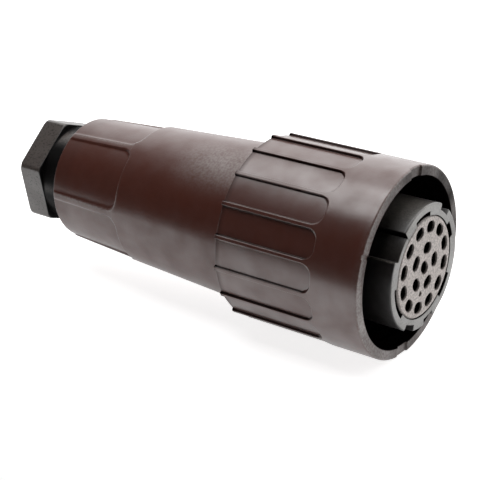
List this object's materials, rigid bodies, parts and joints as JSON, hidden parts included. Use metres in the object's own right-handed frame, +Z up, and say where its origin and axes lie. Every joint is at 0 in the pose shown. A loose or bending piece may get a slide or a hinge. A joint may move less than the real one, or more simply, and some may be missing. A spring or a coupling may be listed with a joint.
{
  "type": "circular multi-contact cable connector",
  "caption": "Round plastic cable plug with a ribbed turning coupling ring, keyed socket insert, tapered backshell with shallow side panels and hexagonal cable gland nut.",
  "frame": {"origin": "on the floor under the middle of the length, with the plug lying on its coupling ring", "axes": "+X along the axis towards the mating end, +Z up"},
  "size_m": [0.0756, 0.0308, 0.0308],
  "materials": {
    "housing_plastic": "satin",
    "barrel_plastic": "satin",
    "insert_plastic": "matte",
    "gland_plastic": "satin",
    "contact_brass": "satin",
    "seal_rubber": "matte"
  },
  "bodies": {
    "core": {"plug_shell": "barrel_plastic", "interface_seal": "seal_rubber", "contact_insert": "insert_plastic", "contact_retainer": "insert_plastic", "body_o_ring": "seal_rubber", "backshell": "housing_plastic", "cable_seal": "seal_rubber", "socket_contact_01": "contact_brass", "socket_contact_02": "contact_brass", "socket_contact_03": "contact_brass", "socket_contact_04": "contact_brass", "socket_contact_05": "contact_brass", "socket_contact_06": "contact_brass", "socket_contact_07": "contact_brass", "socket_contact_08": "contact_brass", "socket_contact_09": "contact_brass", "socket_contact_10": "contact_brass", "socket_contact_11": "contact_brass", "socket_contact_12": "contact_brass", "socket_contact_13": "contact_brass", "socket_contact_14": "contact_brass", "socket_contact_15": "contact_brass", "socket_contact_16": "contact_brass", "socket_contact_17": "contact_brass", "socket_contact_18": "contact_brass"},
    "ring": {"coupling_ring": "housing_plastic"},
    "follower": {"slip_washer": "insert_plastic"},
    "nut": {"gland_nut": "gland_plastic"}
  },
  "joints": [
    {"name": "coupling_ring_turn", "type": "hinge", "parent": "core", "child": "ring", "pos_m": [0, 0, 0.0154], "axis": [1, 0, 0], "continuous": true},
    {"name": "gland_slide", "type": "slide", "parent": "core", "child": "follower", "axis": [1, 0, 0], "range_m": [-0.00076, 0.00421]},
    {"name": "gland_nut_turn", "type": "hinge", "parent": "follower", "child": "nut", "pos_m": [0, 0, 0.0154], "axis": [1, 0, 0], "range_deg": [-180, 1008]}
  ],
  "couplings": [
    {"joint": "gland_slide", "follows": "gland_nut_turn", "m_per_rad": 0.00023873}
  ]
}
